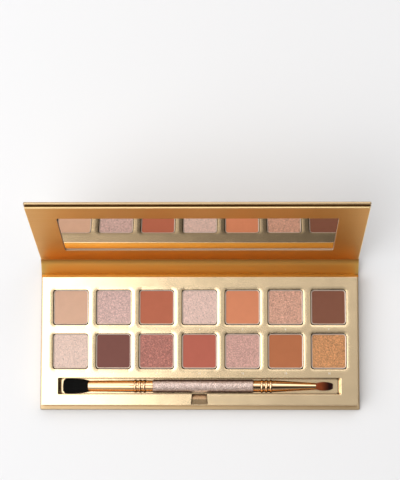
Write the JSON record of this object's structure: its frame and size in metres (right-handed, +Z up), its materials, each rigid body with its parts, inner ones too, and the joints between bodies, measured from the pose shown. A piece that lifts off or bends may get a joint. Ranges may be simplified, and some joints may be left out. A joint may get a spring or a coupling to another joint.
{
  "type": "eyeshadow palette",
  "caption": "Book-style eyeshadow palette: hinged mirror lid over a tray of square powder pans and a double-ended brush in a well.",
  "frame": {"origin": "centre of the base's underside", "axes": "+X along the palette's width to the user's right, +Y to the back where the hinge is, +Z up"},
  "size_m": [0.18, 0.1078, 0.0809],
  "materials": {
    "grey_board": "raw grey board",
    "gold_foil_paper": "satin gold foil",
    "gold_foil_liner": "satin gold foil on board",
    "gold_formed_plastic": "metallised pale gold",
    "magnet_steel": "nickel plated",
    "adhesive": "clear adhesive",
    "mirror_glass": "silvered",
    "pan_tin": "bright pressed",
    "glitter_lacquer": "rose silver glitter lacquer",
    "rose_gold_metal": "polished rose gold",
    "black_bristle": "soft fibre",
    "brown_bristle": "soft fibre",
    "powder_01": "pressed powder, peach, matte",
    "powder_02": "pressed powder, mauve pink, shimmer",
    "powder_03": "pressed powder, terracotta, matte",
    "powder_04": "pressed powder, pale pink, shimmer",
    "powder_05": "pressed powder, coral, matte",
    "powder_06": "pressed powder, rose peach, shimmer",
    "powder_07": "pressed powder, dark brown, matte",
    "powder_08": "pressed powder, champagne, shimmer",
    "powder_09": "pressed powder, plum brown, matte",
    "powder_10": "pressed powder, dusty rose, satin",
    "powder_11": "pressed powder, brick, matte",
    "powder_12": "pressed powder, mauve taupe, shimmer",
    "powder_13": "pressed powder, caramel, matte",
    "powder_14": "pressed powder, gold copper, shimmer"
  },
  "bodies": {
    "base": {"base_board": "grey_board", "base_wrap": "gold_foil_paper", "tray": "gold_formed_plastic", "tray_magnets": "magnet_steel", "pan_glue_pads": "adhesive", "pan_01": "pan_tin", "pan_02": "pan_tin", "pan_03": "pan_tin", "pan_04": "pan_tin", "pan_05": "pan_tin", "pan_06": "pan_tin", "pan_07": "pan_tin", "pan_08": "pan_tin", "pan_09": "pan_tin", "pan_10": "pan_tin", "pan_11": "pan_tin", "pan_12": "pan_tin", "pan_13": "pan_tin", "pan_14": "pan_tin", "powder_01": "powder_01", "powder_02": "powder_02", "powder_03": "powder_03", "powder_04": "powder_04", "powder_05": "powder_05", "powder_06": "powder_06", "powder_07": "powder_07", "powder_08": "powder_08", "powder_09": "powder_09", "powder_10": "powder_10", "powder_11": "powder_11", "powder_12": "powder_12", "powder_13": "powder_13", "powder_14": "powder_14"},
    "spine": {"spine_board": "grey_board", "spine_wrap": "gold_foil_paper", "base_fold": "gold_foil_paper", "lid_fold": "gold_foil_paper"},
    "lid": {"lid_board": "grey_board", "lid_wrap": "gold_foil_paper", "lid_liner": "gold_foil_liner", "lid_magnets": "magnet_steel", "mirror": "mirror_glass", "mirror_tape": "adhesive"},
    "brush": {"brush_handle": "glitter_lacquer", "wide_ferrule": "rose_gold_metal", "narrow_ferrule": "rose_gold_metal", "wide_bristles": "black_bristle", "narrow_bristles": "brown_bristle"}
  },
  "joints": [
    {"name": "spine_fold", "type": "hinge", "parent": "base", "child": "spine", "pos_m": [0, 0.03865, 0.0007], "axis": [-1, 0, 0], "range_deg": [-56, 34]},
    {"name": "lid_fold", "type": "hinge", "parent": "spine", "child": "lid", "pos_m": [0, 0.04835, 0.00724], "axis": [-1, 0, 0], "range_deg": [-50, 40]},
    {"name": "brush_lift", "type": "slide", "parent": "base", "child": "brush", "axis": [0, 0, 1], "range_m": [0, 0.06]}
  ]
}
